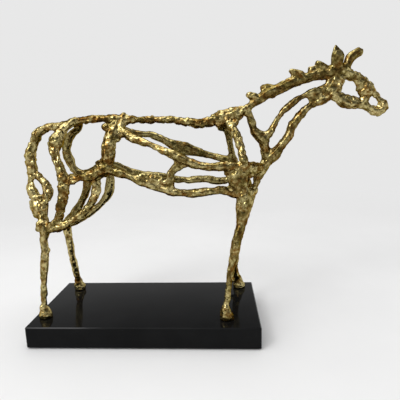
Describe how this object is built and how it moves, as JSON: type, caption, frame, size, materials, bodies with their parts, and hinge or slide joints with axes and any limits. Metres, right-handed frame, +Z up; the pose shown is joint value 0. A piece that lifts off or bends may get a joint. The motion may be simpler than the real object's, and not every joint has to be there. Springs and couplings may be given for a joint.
{
  "type": "horse statue",
  "caption": "Openwork standing horse of lumpy brazed bronze bars, head high, tail down, bolted by its hooves to a polished black stone slab with felt under it.",
  "frame": {"origin": "centre of the felt's underside, the face that the statue rests on", "axes": "+Z up, +X the way the horse looks, along the slab's long side, +Y to the horse's left, away from the side that is shown to the front"},
  "size_m": [0.472, 0.14, 0.3683],
  "materials": {
    "gilt_bronze": "hand-worked bronze, lumpy, gilded on the high spots and dark brown in the hollows",
    "olive_bronze": "hand-worked bronze with a duller olive-brown patina",
    "black_stone": "polished",
    "felt": "dark felt",
    "zinc_steel": "zinc plated"
  },
  "bodies": {
    "root": {"stone_slab": "black_stone", "felt_pad": "felt", "hoof_studs": "zinc_steel", "stud_washers": "zinc_steel", "stud_nuts": "zinc_steel", "near_hind_hoof": "gilt_bronze", "far_hind_hoof": "olive_bronze", "near_fore_hoof": "gilt_bronze", "far_fore_hoof": "olive_bronze", "near_hind_shank": "gilt_bronze", "far_hind_shank": "olive_bronze", "near_fore_cannon": "gilt_bronze", "far_fore_cannon": "olive_bronze", "near_forearm": "gilt_bronze", "far_forearm": "olive_bronze", "near_haunch_bar": "gilt_bronze", "near_haunch_strap": "gilt_bronze", "near_stifle_bar": "gilt_bronze", "near_thigh_bar": "gilt_bronze", "far_haunch_bar": "olive_bronze", "far_stifle_bar": "olive_bronze", "far_thigh_rear_bar": "olive_bronze", "far_thigh_front_bar": "olive_bronze", "near_hip_bar": "gilt_bronze", "far_hip_bar": "olive_bronze", "croup_bar": "gilt_bronze", "back_bar": "gilt_bronze", "withers_plate": "gilt_bronze", "tail_dock": "gilt_bronze", "tail_rear_loop": "gilt_bronze", "tail_front_loop": "gilt_bronze", "tail_tuft": "gilt_bronze", "near_flank_bar": "gilt_bronze", "near_rib": "gilt_bronze", "near_flank_link": "gilt_bronze", "near_belly_bar": "gilt_bronze", "near_belly_plate": "gilt_bronze", "far_flank_bar": "olive_bronze", "far_belly_bar": "olive_bronze", "near_shoulder_bar": "gilt_bronze", "far_shoulder_bar": "olive_bronze", "near_shoulder_plate": "gilt_bronze", "near_breast_tie": "gilt_bronze", "far_breast_tie": "olive_bronze", "elbow_tie": "gilt_bronze", "neck_post": "gilt_bronze", "chest_bar": "gilt_bronze", "mid_neck_bar": "gilt_bronze", "crest_bar": "gilt_bronze", "mane_tufts": "gilt_bronze", "throat_plate": "gilt_bronze", "forehead_bar": "gilt_bronze", "cheek_plate": "gilt_bronze", "jaw_bar": "gilt_bronze", "near_ear": "gilt_bronze", "far_ear": "olive_bronze"}
  },
  "joints": []
}
